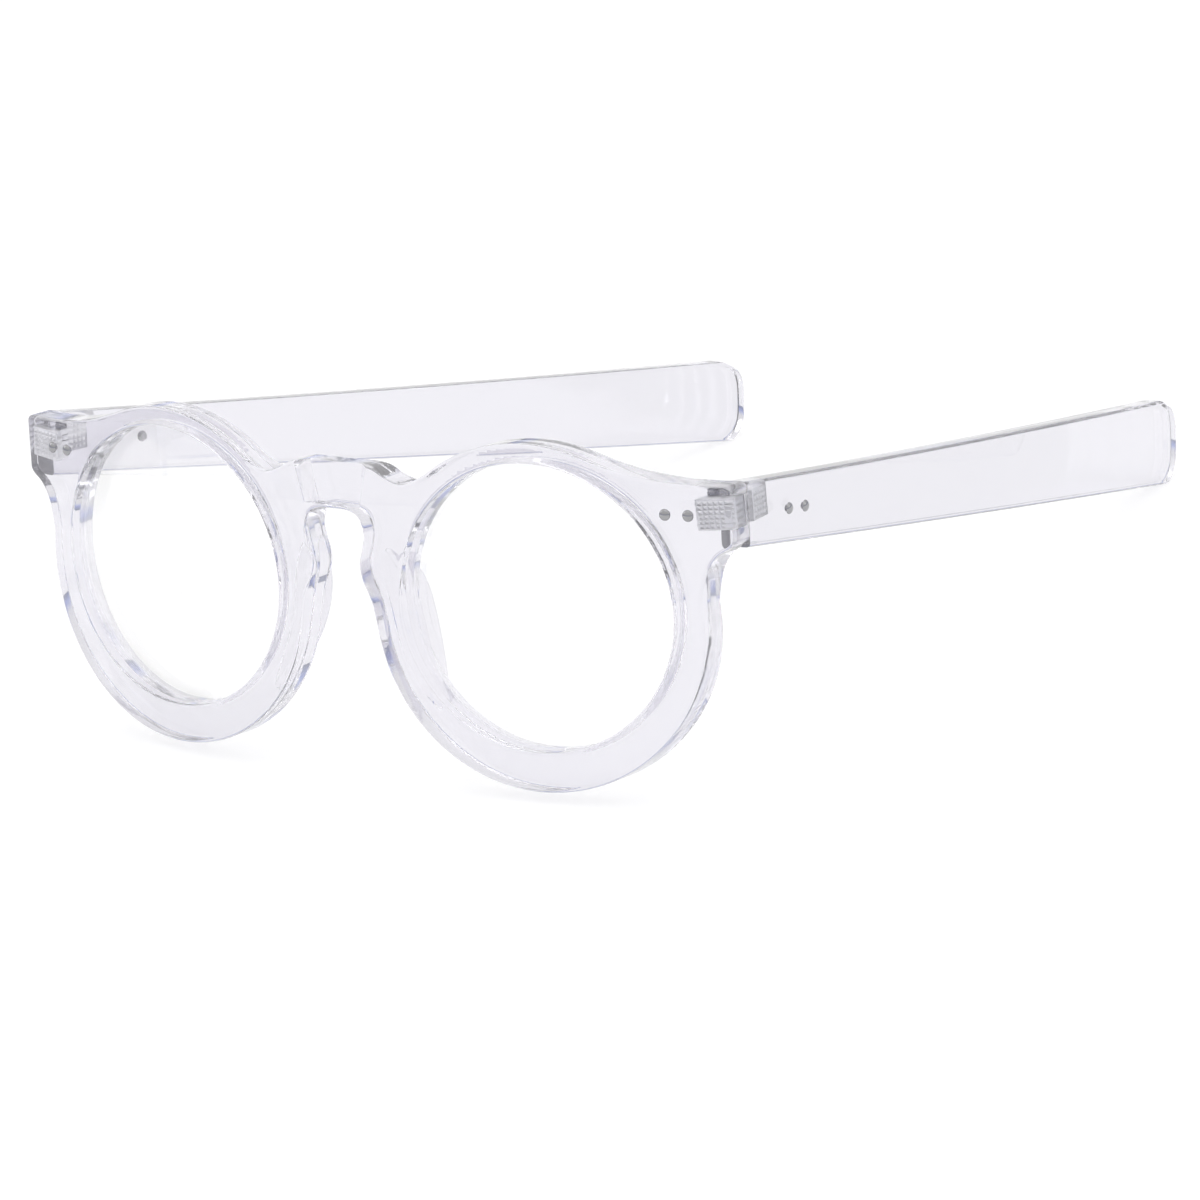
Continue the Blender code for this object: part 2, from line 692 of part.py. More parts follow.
def make_hinge_screw():
    half = HINGE_HEIGHT / 2
    seat = half + KNUCKLE_GAP
    top = seat + SCREW_HEAD_HEIGHT
    foot = -half - SCREW_END
    profile = [(0, top), (SCREW_HEAD_RADIUS * 0.8, top),
               (SCREW_HEAD_RADIUS, seat + SCREW_HEAD_HEIGHT * 0.6), (SCREW_HEAD_RADIUS, seat),
               (SCREW_RADIUS, seat), (SCREW_RADIUS, foot), (0, foot)]
    screw = add_object("screw", turned(profile, 16, "screw"), cutters)
    slot_floor = seat + SCREW_HEAD_HEIGHT / 2
    boolean(screw, box_mesh((-OVERCUT, -SCREW_SLOT_HALF_WIDTH, slot_floor),
                            (OVERCUT, SCREW_SLOT_HALF_WIDTH, top + OVERCUT)))
    mesh = cleaned(finished_mesh(screw, "hinge_screw"), 0.002 * MM)
    mesh.transform(Matrix.Translation(PIN))
    return leaned(mesh)


# ---------------------------------------------------------------- assembly

make_front()
place_pair("lens", make_lens(), "lens", moving=False)
place_pair("nose_pad", make_nose_pad(), "pad_plastic", moving=False)
place_pair("front_hinge", make_front_hinge(), "hinge_steel", moving=False)
place_pair("hinge_screw", make_hinge_screw(), "screw_steel", moving=False)
place_pair("temple", make_temple(), "clear_plastic", moving=True)
place_pair("temple_hinge", make_temple_hinge(), "hinge_steel", moving=True)

rivet = turned(rivet_profile(RIVET_HEAD_RADIUS, RIVET_SHANK_RADIUS, RIVET_HEAD_HEIGHT, RIVET_DEPTH),
               12, "rivet")
lift = Matrix.Translation((0, 0, RIVET_GAP))
for label, x in zip(("inner", "outer"), FRONT_RIVETS_X):
    stud = rivet.copy()
    stud.transform(front_rivet_frame(x) @ lift)
    place_pair(f"front_rivet_{label}", stud, "polished_steel", moving=False)
for label, s in zip(("front", "rear"), TEMPLE_RIVETS_S):
    stud = rivet.copy()
    stud.transform(temple_rivet_frame(s) @ lift)
    place_pair(f"temple_rivet_{label}", stud, "polished_steel", moving=True)

for leftover in [m for m in bpy.data.meshes if m.users == 0]:
    bpy.data.meshes.remove(leftover)


def stand_on_ground():
    """Leans the stance back, then centres the object over the origin with its lowest point at 0."""
    stance.rotation_euler = (-STANCE_LEAN, 0, 0)
    bpy.context.view_layer.update()
    graph = bpy.context.evaluated_depsgraph_get()
    corners = []
    for piece in parts.objects:
        if piece.type == "MESH":
            seen = piece.evaluated_get(graph)
            corners += [seen.matrix_world @ v.co for v in seen.data.vertices]
    low = Vector([min(c[i] for c in corners) for i in range(3)])
    high = Vector([max(c[i] for c in corners) for i in range(3)])
    stance.location = (-(low.x + high.x) / 2, -(low.y + high.y) / 2, -low.z)


stand_on_ground()
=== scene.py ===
# %% [markdown]
# # Clear round eyeglasses
#
# These cells build a pair of round reading glasses in colourless plastic. The front is one piece of
# clear sheet with a keyhole bridge, two wing-shaped nose pads stand on its back, and two straight
# temples fold on small metal hinges. Because everything is see-through, the hinge leaves that are
# buried in the plastic are part of the look, and so is every polished edge.
#
# The solid model is loaded first. It gives the sizes, the joints and the bodies that every piece
# here rides on.

import math

import bmesh
import bpy
from mathutils import Matrix, Vector


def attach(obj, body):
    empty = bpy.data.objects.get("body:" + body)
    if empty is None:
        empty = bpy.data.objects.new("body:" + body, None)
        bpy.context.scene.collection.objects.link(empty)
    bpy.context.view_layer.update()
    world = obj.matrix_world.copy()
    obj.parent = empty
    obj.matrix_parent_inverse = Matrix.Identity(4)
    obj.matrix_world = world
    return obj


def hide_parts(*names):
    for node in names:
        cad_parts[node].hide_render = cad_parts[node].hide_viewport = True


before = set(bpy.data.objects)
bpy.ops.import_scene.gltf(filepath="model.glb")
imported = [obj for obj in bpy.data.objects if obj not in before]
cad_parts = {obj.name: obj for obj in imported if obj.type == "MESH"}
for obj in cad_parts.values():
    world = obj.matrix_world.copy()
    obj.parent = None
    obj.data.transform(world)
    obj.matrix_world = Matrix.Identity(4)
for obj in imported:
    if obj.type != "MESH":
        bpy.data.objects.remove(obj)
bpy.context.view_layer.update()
MM = 0.001

# %% [markdown]
# ## Drawing upright, then leaning back
#
# A maker draws the front flat on the bench: x is its width, z its height, y its depth towards the
# wearer. The finished glasses stand on their rims and temple tips, so the drawing leans back a
# little. Every piece is made upright and `stand` then sets it down. The turn is applied to the mesh,
# so each finished object sits at the origin.

# %% Bench helpers
STANCE_LEAN = math.radians(6.9)
STANCE_PLACE = Vector((0, -76.405, 28.417)) * MM
STANCE = Matrix.Translation(STANCE_PLACE) @ Matrix.Rotation(-STANCE_LEAN, 4, "X")


def deselect_all():
    if bpy.context.mode != "OBJECT":
        bpy.ops.object.mode_set(mode="OBJECT")
    bpy.ops.object.select_all(action="DESELECT")


def work_on(piece):
    deselect_all()
    piece.select_set(True)
    bpy.context.view_layer.objects.active = piece


def edit(piece, mode="VERT"):
    work_on(piece)
    bpy.ops.object.mode_set(mode="EDIT")
    bpy.ops.mesh.select_mode(type=mode)
    bpy.ops.mesh.select_all(action="DESELECT")


def place(piece, matrix):
    """Moves a piece by a matrix and applies the move to its mesh."""
    work_on(piece)
    piece.matrix_world = matrix @ piece.matrix_world
    bpy.ops.object.transform_apply(location=True, rotation=True, scale=True)
    return piece


def stand(piece):
    return place(piece, STANCE)


def pick_faces(piece, wanted):
    """Selects the faces that answer the question, in edit mode."""
    work = bmesh.from_edit_mesh(piece.data)
    for face in work.faces:
        if wanted(face):
            face.select_set(True)
    bmesh.update_edit_mesh(piece.data)


def apply_modifier(piece, kind, **settings):
    work_on(piece)
    change = piece.modifiers.new(kind.lower(), kind)
    for name, value in settings.items():
        setattr(change, name, value)
    bpy.ops.object.modifier_apply(modifier=change.name)
    return piece


def cut_or_join(piece, other, operation):
    """A Boolean with another piece, which is used up."""
    apply_modifier(piece, "BOOLEAN", operation=operation, solver="EXACT", object=other)
    bpy.data.objects.remove(other, do_unlink=True)
    return piece


def weld(piece, distance=0.002 * MM):
    edit(piece)
    bpy.ops.mesh.select_all(action="SELECT")
    bpy.ops.mesh.remove_doubles(threshold=distance)
    bpy.ops.mesh.normals_make_consistent(inside=False)
    bpy.ops.object.mode_set(mode="OBJECT")
    return piece


def copy_of(piece, name):
    work_on(piece)
    bpy.ops.object.duplicate()
    twin = bpy.context.object
    twin.name = name
    twin.data.name = name
    return twin


def mirror_copy(piece, name):
    """A copy for the other side, turned over in x = 0, with its faces pointing outwards again."""
    twin = copy_of(piece, name)
    place(twin, Matrix.Scale(-1, 4, (1, 0, 0)))
    edit(twin)
    bpy.ops.mesh.select_all(action="SELECT")
    bpy.ops.mesh.normals_make_consistent(inside=False)
    bpy.ops.object.mode_set(mode="OBJECT")
    return twin


def name_piece(piece, name):
    piece.name = name
    piece.data.name = name
    return piece


def shade(piece, degrees=35):
    work_on(piece)
    bpy.ops.object.shade_smooth_by_angle(angle=math.radians(degrees))
    return piece


def report(piece):
    size = piece.dimensions / MM
    print(piece.name, len(piece.data.polygons), "faces,", [round(s, 1) for s in size], "mm")


# %% [markdown]
# ## Outlines
#
# The rims are ellipses, a little wider than tall, set slightly lower than the lens openings, so the
# plastic is narrow on top and wide below. The lens openings lean, with their outer side up. Between
# and beyond the rims a few knots give the bridge, the brow, the end piece and the keyhole, and a
# smooth curve runs through them.

# %% Outline helpers
LENS_CENTRE_X = 34.0 * MM
OPENING_HALF_WIDTH = 22.5 * MM
OPENING_HALF_HEIGHT = 21.0 * MM
OPENING_LEAN = math.radians(5)
RIM_HALF_WIDTH = 27.2 * MM
RIM_HALF_HEIGHT = 25.4 * MM
RIM_CENTRE_DROP = 1.5 * MM
BRIDGE_TOP = 18.7 * MM
KEYHOLE_TOP = 12.0 * MM
END_PIECE_X = 65.9 * MM
END_PIECE_TOP = 19.3 * MM


def knots(*pairs):
    return [(x * MM, z * MM) for x, z in pairs]


def smooth_through(points, steps):
    """A smooth curve through all the knots but the first and last, which only give its direction."""
    curve = []
    for i in range(1, len(points) - 2):
        before, here, there, after = [Vector(p) for p in points[i - 1:i + 3]]
        for step in range(steps):
            t = step / steps
            curve.append(tuple(0.5 * (2 * here + (there - before) * t
                                      + (2 * before - 5 * here + 4 * there - after) * t * t
                                      + (3 * here - before - 3 * there + after) * t ** 3)))
    return curve


def rim_arc(start, end, steps):
    angles = [math.radians(start + (end - start) * i / steps) for i in range(steps + 1)]
    return [(LENS_CENTRE_X + RIM_HALF_WIDTH * math.cos(a),
             RIM_HALF_HEIGHT * math.sin(a) - RIM_CENTRE_DROP) for a in angles]


def opening_points(side, growth=0.0, steps=180):
    points = []
    for i in range(steps):
        angle = 2 * math.pi * i / steps
        across = (OPENING_HALF_WIDTH + growth) * math.cos(angle)
        up = (OPENING_HALF_HEIGHT + growth) * math.sin(angle)
        x = LENS_CENTRE_X + across * math.cos(OPENING_LEAN) - up * math.sin(OPENING_LEAN)
        z = across * math.sin(OPENING_LEAN) + up * math.cos(OPENING_LEAN)
        points.append((side * x, z))
    return points if side < 0 else points[::-1]


def front_half_points():
    """The left half, from the middle of the bridge's top round the rim to the keyhole's top."""
    over_top = rim_arc(129, 68, 40)
    under = rim_arc(8, -172, 130)
    end_x, end_top = END_PIECE_X, END_PIECE_TOP
    bridge = smooth_through([(-7 * MM, BRIDGE_TOP), (0, BRIDGE_TOP),
                             *knots((6.8, 18.6), (10.2, 17.2), (13.0, 16.6)),
                             over_top[0], over_top[3]], 8)
    brow = smooth_through([over_top[-4], over_top[-1], *knots((50.5, 20.35), (57.5, 19.45)),
                           (end_x - 1.0 * MM, end_top), (end_x + 3 * MM, end_top)], 8)
    corner = smooth_through([(end_x - 2.0 * MM, end_top), (end_x - 1.0 * MM, end_top),
                             (end_x - 0.3 * MM, end_top - 0.3 * MM), (end_x, end_top - 1.0 * MM),
                             (end_x, end_top - 3.0 * MM)], 5)
    side = [(end_x, end_top - 1.0 * MM - 5.9 * MM * i / 6) for i in range(7)]
    fillet = smooth_through([(end_x, 12.4 * MM), (end_x, 11.4 * MM), (end_x - 0.35 * MM, 10.7 * MM),
                             (end_x - 0.9 * MM, 10.2 * MM), *knots((63.3, 9.0), (61.8, 6.6)),
                             under[0], under[4]], 6)
    keyhole = smooth_through([under[-4], under[-1],
                              *knots((6.2, -1.2), (4.8, 1.8), (4.4, 4.2), (5.1, 6.8), (5.4, 9.0),
                                     (4.6, 11.0), (2.8, 11.9)),
                              (0, KEYHOLE_TOP), (-2.8 * MM, 11.9 * MM)], 8)
    return (bridge + over_top[:-1] + brow + corner + side[:-1] + fillet + under[:-1] + keyhole
            + [(0, KEYHOLE_TOP)])


half = front_half_points()
front_points = half + [(-x, z) for x, z in reversed(half) if x > 0.001 * MM]
print("front outline", len(front_points), "points")

# %% [markdown]
# ## Sawing the front from sheet
#
# A front starts as a flat sheet that is sawn to shape, and its edges are rounded by tumbling. A
# filled curve does all of that in one step: its extrude is the sheet's thickness, its bevel the
# tumbled edge, and inner loops become the lens openings. The curve is then converted to a mesh and
# its seams are welded.

# %% Plate from outlines
FRONT_THICKNESS = 5.0 * MM
EDGE_ROUNDING = 0.55 * MM


def plate(name, outlines, thickness, rounding):
    """A flat plate in x, z, from y = 0 to its thickness, with rounded edges."""
    deselect_all()
    bpy.ops.curve.primitive_bezier_circle_add(radius=10 * MM, location=(0, 0, 0))
    drawing = bpy.context.object
    curve = drawing.data
    curve.dimensions = "2D"
    curve.fill_mode = "BOTH"
    curve.extrude = thickness / 2 - rounding
    curve.bevel_depth = rounding
    curve.bevel_resolution = 3
    curve.offset = -rounding
    curve.splines.clear()
    for points in outlines:
        spline = curve.splines.new("POLY")
        spline.points.add(len(points) - 1)
        for knot, (x, z) in zip(spline.points, points):
            knot.co = (x, z, 0, 1)
        spline.use_cyclic_u = True
    bpy.ops.object.convert(target="MESH")
    piece = name_piece(bpy.context.object, name)
    place(piece, Matrix.Translation((0, thickness / 2, 0)) @ Matrix.Rotation(math.pi / 2, 4, "X"))
    return weld(piece, 0.01 * MM)


front = plate("front_frame_clear", [front_points, opening_points(1), opening_points(-1)],
              FRONT_THICKNESS, EDGE_ROUNDING)
report(front)

# %% [markdown]
# ## The lens groove and the hollow of the bridge
#
# A lens is held by a V groove that is milled round the middle of the opening's wall. In a clear
# front this groove is what draws the bright and blue lines beside each lens. The cutter is a stack
# of rings, made by extruding a circle's edge and scaling it, and the same stack makes the lens
# itself, so the two fit.
#
# The face of the bridge is hollowed by a wedge with a flat floor and two sloping sides.

# %% Rings, groove and recess
LENS_EDGE = 1.8 * MM
LENS_BEVEL = 0.6 * MM
GROOVE_GAP = 0.12 * MM
GROOVE_START = 0.6 * MM
GROOVE_FLARE = 0.7 * MM
RECESS_FLOOR = 4.3 * MM
RECESS_MOUTH = 6.0 * MM
RECESS_DEPTH = 1.7 * MM
RECESS_LIP = 0.1 * MM
OVERCUT = 3 * MM
RECESS_BOTTOM = 12.6 * MM
RECESS_HEIGHT = 7.4 * MM
RECESS_TAPER = 45.0


def ring_stack(name, rings, sides):
    """Rings of (half width, half height, depth), joined in turn, with the first and last filled."""
    deselect_all()
    width, height, depth = rings[0]
    bpy.ops.mesh.primitive_circle_add(vertices=sides, radius=1, fill_type="NGON",
                                      location=(0, 0, 0))
    piece = name_piece(bpy.context.object, name)
    edit(piece)
    bpy.ops.mesh.select_all(action="SELECT")
    bpy.ops.transform.resize(value=(width, height, 1), center_override=(0, 0, 0))
    bpy.ops.transform.translate(value=(0, 0, -depth))
    for new_width, new_height, new_depth in rings[1:]:
        bpy.ops.mesh.select_mode(type="EDGE")
        bpy.ops.mesh.extrude_region_move()
        bpy.ops.transform.resize(value=(new_width / width, new_height / height, 1),
                                 center_override=(0, 0, 0))
        bpy.ops.transform.translate(value=(0, 0, depth - new_depth))
        width, height, depth = new_width, new_height, new_depth
    bpy.ops.object.mode_set(mode="OBJECT")
    place(piece, Matrix.Rotation(math.pi / 2, 4, "X"))
    return weld(piece, 0.0005 * MM)


def set_in_opening(piece, side):
    """Turns a ring stack by the opening's lean and moves it to its lens centre."""
    lean = Matrix.Rotation(-side * OPENING_LEAN, 4, "Y")
    return place(piece, Matrix.Translation((side * LENS_CENTRE_X, 0, 0)) @ lean)


def opening_ring(growth, depth):
    return (OPENING_HALF_WIDTH + growth, OPENING_HALF_HEIGHT + growth, depth)


middle = FRONT_THICKNESS / 2
groove_half_width = LENS_EDGE / 2 + GROOVE_FLARE
for side in (1, -1):
    ridge = LENS_BEVEL + GROOVE_GAP
    cutter = ring_stack("groove_cutter",
                        [opening_ring(-GROOVE_START, middle - groove_half_width),
                         opening_ring(ridge, middle),
                         opening_ring(-GROOVE_START, middle + groove_half_width)], 180)
    cut_or_join(front, set_in_opening(cutter, side), "DIFFERENCE")

wedge = plate("recess_wedge", [[(-RECESS_MOUTH, -OVERCUT), (RECESS_MOUTH, -OVERCUT),
                                (RECESS_MOUTH, RECESS_LIP), (RECESS_FLOOR, RECESS_DEPTH),
                                (-RECESS_FLOOR, RECESS_DEPTH), (-RECESS_MOUTH, RECESS_LIP)]],
              RECESS_HEIGHT, 0)
place(wedge, Matrix.Translation((0, 0, RECESS_BOTTOM + RECESS_HEIGHT))
      @ Matrix.Rotation(-math.pi / 2, 4, "X"))
for vertex in wedge.data.vertices:
    vertex.co.x *= 1 + RECESS_TAPER * (vertex.co.z - (RECESS_BOTTOM + BRIDGE_TOP) / 2)
weld(wedge)
cut_or_join(front, wedge, "DIFFERENCE")
report(front)

# %% [markdown]
# ## Heat-bending the front
#
# The flat front is warmed and bent over a form, so that it follows the face. The bend depends only
# on x, so the plate is first cut into narrow upright strips with the bisect tool, and each strip
# then stays flat while the whole follows a smooth curve. Afterwards the backs of the end pieces are
# sawn to the mitres that the temples close against.

# %% Bow and mitres
FRONT_BOW_RADIUS = 283.0 * MM
STRIP = 1.5 * MM
TEMPLE_TOE_IN = math.radians(8.5)
END_PIECE_BACK = 12.1 * MM
END_PIECE_INNER_X = 52.0 * MM
CORNER = Vector((END_PIECE_X, END_PIECE_BACK, 0))
ALONG = Vector((-math.sin(TEMPLE_TOE_IN), math.cos(TEMPLE_TOE_IN), 0))
OUTWARD = Vector((math.cos(TEMPLE_TOE_IN), math.sin(TEMPLE_TOE_IN), 0))
TEMPLE_FRAME = Matrix.Translation(CORNER) @ Matrix.Rotation(TEMPLE_TOE_IN, 4, "Z")


def bow_depth(x):
    return x * x / (2 * FRONT_BOW_RADIUS)


def bow(piece, strip=None):
    if strip:
        edit(piece)
        reach = max(abs(v.co.x) for v in bmesh.from_edit_mesh(piece.data).verts)
        count = int(reach / strip)
        for i in range(-count, count + 1):
            bpy.ops.mesh.select_all(action="SELECT")
            bpy.ops.mesh.bisect(plane_co=(i * strip, 0, 0), plane_no=(1, 0, 0),
                                threshold=0.002 * MM)
        weld(piece, 0.01 * MM)
    for vertex in piece.data.vertices:
        vertex.co.y += bow_depth(vertex.co.x)
    return piece


def saw_mitre(piece, side):
    """Bisects the end piece with the mitre plane and fills the sawn face."""
    edit(piece)
    work = bmesh.from_edit_mesh(piece.data)
    for vertex in work.verts:
        vertex.select_set(side * vertex.co.x > END_PIECE_INNER_X)
    work.select_flush(True)
    bmesh.update_edit_mesh(piece.data)
    plane = Vector((side * ALONG.x, ALONG.y, 0))
    bpy.ops.mesh.bisect(plane_co=(side * CORNER.x, CORNER.y, 0), plane_no=plane, use_fill=True,
                        clear_outer=True, threshold=0.002 * MM)
    bpy.ops.object.mode_set(mode="OBJECT")


bow(front, STRIP)
for side in (1, -1):
    saw_mitre(front, side)
report(front)

# %% [markdown]
# ## Nose pads
#
# Each pad is a thin wing that stands on the rim's back beside the nose, leans outwards and has a
# soft rounded edge. It is lofted from closed sections at falling heights: circles are added, each is
# pulled to its section's shape, and the bridge tool joins them. A subdivision surface then rounds
# it. The pad is joined with the front, because on clear plastic a seam would show as a silver line.

# %% Pads
# height, root's nose side, root's lens side, free edge's middle and depth, all in mm
PAD_SECTIONS = [
    (6.4, 6.4, 8.6, 7.6, 4.9),
    (5.6, 6.1, 9.0, 7.7, 6.2),
    (3.4, 5.6, 9.8, 8.4, 8.0),
    (0.8, 6.3, 10.4, 9.0, 9.6),
    (-2.4, 7.3, 10.9, 9.5, 10.2),
    (-6.0, 7.9, 11.6, 10.3, 10.2),
    (-9.6, 9.0, 12.9, 11.5, 9.5),
    (-13.2, 10.8, 14.6, 13.1, 8.1),
    (-16.2, 13.1, 16.2, 14.9, 6.3),
    (-17.2, 14.0, 16.2, 15.3, 4.9),
]
PAD_EDGE = 1.3 * MM
PAD_SUNK = 0.6 * MM
SECTION_SIDES = 16


def pad_section(nose_x, lens_x, edge_x, edge_y):
    """Points round one section: along the root, up the lens side, over the edge and back."""
    nose_x, lens_x, edge_x, edge_y = [value * MM for value in (nose_x, lens_x, edge_x, edge_y)]
    root = FRONT_THICKNESS - PAD_SUNK
    lows = [(nose_x + (lens_x - nose_x) * t, root + bow_depth(lens_x)) for t in (0, 1 / 3, 2 / 3, 1)]
    half_edge = PAD_EDGE / 2
    tall = max(edge_y - root - half_edge, 0.2 * MM)
    lens_side = []
    nose_side = []
    for t in (0.25, 0.5, 0.75, 1.0):
        slim = (1 - t) ** 1.6
        y = root + bow_depth(lens_x) + (tall - bow_depth(lens_x)) * t
        lens_side.append((edge_x + half_edge + (lens_x - edge_x - half_edge) * slim, y))
        nose_side.append((edge_x - half_edge + (nose_x - edge_x + half_edge) * slim, y))
    rim = [(edge_x + half_edge * math.cos(a), root + tall + half_edge * math.sin(a))
           for a in (math.radians(36), math.radians(72), math.radians(108), math.radians(144))]
    return lows + lens_side + rim + nose_side[::-1]


def make_pad():
    deselect_all()
    first = PAD_SECTIONS[0]
    bpy.ops.mesh.primitive_circle_add(vertices=SECTION_SIDES, radius=MM,
                                      location=(0, 0, first[0] * MM))
    pad = name_piece(bpy.context.object, "pad")
    place(pad, Matrix.Identity(4))
    edit(pad)
    for section in PAD_SECTIONS[1:]:
        bpy.ops.mesh.primitive_circle_add(vertices=SECTION_SIDES, radius=MM,
                                          location=(0, 0, section[0] * MM))
    work = bmesh.from_edit_mesh(pad.data)
    work.verts.ensure_lookup_table()
    for row, (height, *shape) in enumerate(PAD_SECTIONS):
        for corner, (x, y) in enumerate(pad_section(*shape)):
            work.verts[row * SECTION_SIDES + corner].co = (x, y, height * MM)
    bmesh.update_edit_mesh(pad.data)
    bpy.ops.mesh.select_mode(type="EDGE")
    bpy.ops.mesh.select_all(action="SELECT")
    bpy.ops.mesh.bridge_edge_loops()
    for height in (PAD_SECTIONS[0][0], PAD_SECTIONS[-1][0]):
        bpy.ops.mesh.select_mode(type="VERT")
        bpy.ops.mesh.select_all(action="DESELECT")
        work = bmesh.from_edit_mesh(pad.data)
        for vertex in work.verts:
            vertex.select_set(abs(vertex.co.z - height * MM) < 0.01 * MM)
        work.select_flush(True)
        bmesh.update_edit_mesh(pad.data)
        bpy.ops.mesh.edge_face_add()
    bpy.ops.object.mode_set(mode="OBJECT")
    weld(pad)
    return apply_modifier(pad, "SUBSURF", levels=2, render_levels=2)


pad = make_pad()
report(pad)
other_pad = mirror_copy(pad, "other_pad")
for wing in (pad, other_pad):
    cut_or_join(front, wing, "UNION")
stand(front)
shade(front, 32)
apply_modifier(front, "WEIGHTED_NORMAL", keep_sharp=True, weight=80)
report(front)

# %% [markdown]
# ## Lenses
#
# A plain reading lens is a shallow dome, about the same thickness all over, whose edge is ground to
# a V that sits in the groove. It is the same stack of rings as the groove's cutter, with more rings
# over its faces so that the dome is smooth.

# %% Lenses
LENS_GAP = 0.06 * MM
LENS_DOME = 1.2 * MM


def lens_rings():
    shares = [0.03, 0.12, 0.24, 0.36, 0.48, 0.6, 0.7, 0.8, 0.88, 0.95, 0.985]
    front_face = []
    back_face = []
    for share in shares:
        lift = LENS_DOME * (1 - share ** 2)
        width = (OPENING_HALF_WIDTH - LENS_GAP) * share
        height = (OPENING_HALF_HEIGHT - LENS_GAP) * share
        front_face.append((width, height, middle - LENS_EDGE / 2 - lift))
        back_face.append((width, height, middle + LENS_EDGE / 2 - lift))
    edge = [opening_ring(-LENS_GAP, middle - LENS_EDGE / 2), opening_ring(LENS_BEVEL, middle),
            opening_ring(-LENS_GAP, middle + LENS_EDGE / 2)]
    return front_face + edge + back_face[::-1]


lens_left = set_in_opening(ring_stack("lens_left_clear", lens_rings(), 128), 1)
bow(lens_left)
lens_right = mirror_copy(lens_left, "lens_right_clear")
for lens in (lens_left, lens_right):
    stand(lens)
    shade(lens, 25)
    report(lens)

# %% [markdown]
# ## Temples
#
# Each temple is a straight paddle sawn from thinner sheet: tall at the hinge, slightly tapered and
# dropping towards a softly squared tip. Its butt end is cut square to meet the end piece.

# %% Temples
TEMPLE_LENGTH = 145.8 * MM
TEMPLE_THICKNESS = 3.8 * MM
TEMPLE_ROUNDING = 0.65 * MM
JOINT_GAP = 0.15 * MM
TIP_CORNER = 4.8 * MM
SAW_ALLOWANCE = 2.0 * MM


def temple_top(s):
    return 19.2 * MM - 0.124 * s + 0.00008 / MM * s * s


def temple_bottom(s):
    return 10.0 * MM - 0.148 * s + 0.00004 / MM * s * s


def temple_points():
    start, end, steps = -SAW_ALLOWANCE, TEMPLE_LENGTH, 60
    reach = end - TIP_CORNER
    places = [start + (reach - start) * i / steps for i in range(steps + 1)]
    top = [(s, temple_top(s)) for s in places]
    bottom = [(s - 1.2 * MM, temple_bottom(s)) for s in reversed(places[1:])]
    tip = smooth_through([top[-2], top[-1], (end - 2.6 * MM, temple_top(end) - 0.5 * MM),
                          (end - 0.9 * MM, temple_top(end) - 1.7 * MM),
                          (end, temple_top(end) - 4.2 * MM),
                          (end - 0.2 * MM, temple_bottom(end) + 4.4 * MM),
                          (end - 1.2 * MM, temple_bottom(end) + 2.0 * MM),
                          (end - 3.2 * MM, temple_bottom(end) + 0.5 * MM), bottom[0], bottom[1]], 6)
    return top[:-1] + tip + bottom + [(start, temple_bottom(start))]


temple_left = plate("temple_left_clear", [temple_points()], TEMPLE_THICKNESS, TEMPLE_ROUNDING)
edit(temple_left)
bpy.ops.mesh.select_all(action="SELECT")
bpy.ops.mesh.bisect(plane_co=(JOINT_GAP, 0, 0), plane_no=(-1, 0, 0), use_fill=True,
                    clear_outer=True, threshold=0.002 * MM)
bpy.ops.object.mode_set(mode="OBJECT")
place(temple_left, TEMPLE_FRAME @ Matrix.Rotation(math.pi / 2, 4, "Z"))
weld(temple_left)
temple_right = mirror_copy(temple_left, "temple_right_clear")
for temple in (temple_left, temple_right):
    stand(temple)
    shade(temple, 32)
    apply_modifier(temple, "WEIGHTED_NORMAL", keep_sharp=True, weight=80)
    report(temple)

# %% [markdown]
# ## Hinges
#
# Each hinge has two halves stamped from nickel silver. A half is a leaf, pressed hot into the
# plastic, and round knuckles that stand in a row on the pin. The buried leaf is knurled so that the
# plastic grips it, and in a clear frame those small pyramids sparkle. The pin leans a little, so
# that a straight temple dips below the other one as it folds.

# %% Hinge helpers
PIN_INSET = 5.0 * MM
PIN_SETBACK = 1.25 * MM
HINGE_MIDDLE_Z = 15.0 * MM
HINGE_HEIGHT = 4.5 * MM
KNUCKLE_RADIUS = 1.1 * MM
KNUCKLE_GAP = 0.1 * MM
KNUCKLE_ROUNDING = 0.09 * MM
KNUCKLES = 5
SCREW_RADIUS = 0.5 * MM
LEAF_BRIDGE = 0.9 * MM
KNURL_HEIGHT = 0.24 * MM
KNURL_BORDER = 0.15 * MM
KNURLED_AREA = 5 * MM * MM
PIN = CORNER - PIN_INSET * OUTWARD + PIN_SETBACK * ALONG + Vector((0, 0, HINGE_MIDDLE_Z))
PIN_AXIS = Vector((-0.075, -0.040, 1)).normalized()
LEAN = (Matrix.Translation(PIN)
        @ Vector((0, 0, 1)).rotation_difference(PIN_AXIS).to_matrix().to_4x4()
        @ Matrix.Translation(-PIN))


def block(name, low, high):
    """A cube at its size and place, in outward, along, up from the end piece's corner."""
    deselect_all()
    low, high = Vector(low), Vector(high)
    bpy.ops.mesh.primitive_cube_add(size=1, location=(low + high) / 2)
    piece = name_piece(bpy.context.object, name)
    piece.scale = high - low
    bpy.ops.object.transform_apply(location=True, rotation=True, scale=True)
    return piece


def round_edges(piece, width, segments=2, degrees=40):
    return apply_modifier(piece, "BEVEL", width=width, segments=segments, limit_method="ANGLE",
                          angle_limit=math.radians(degrees))


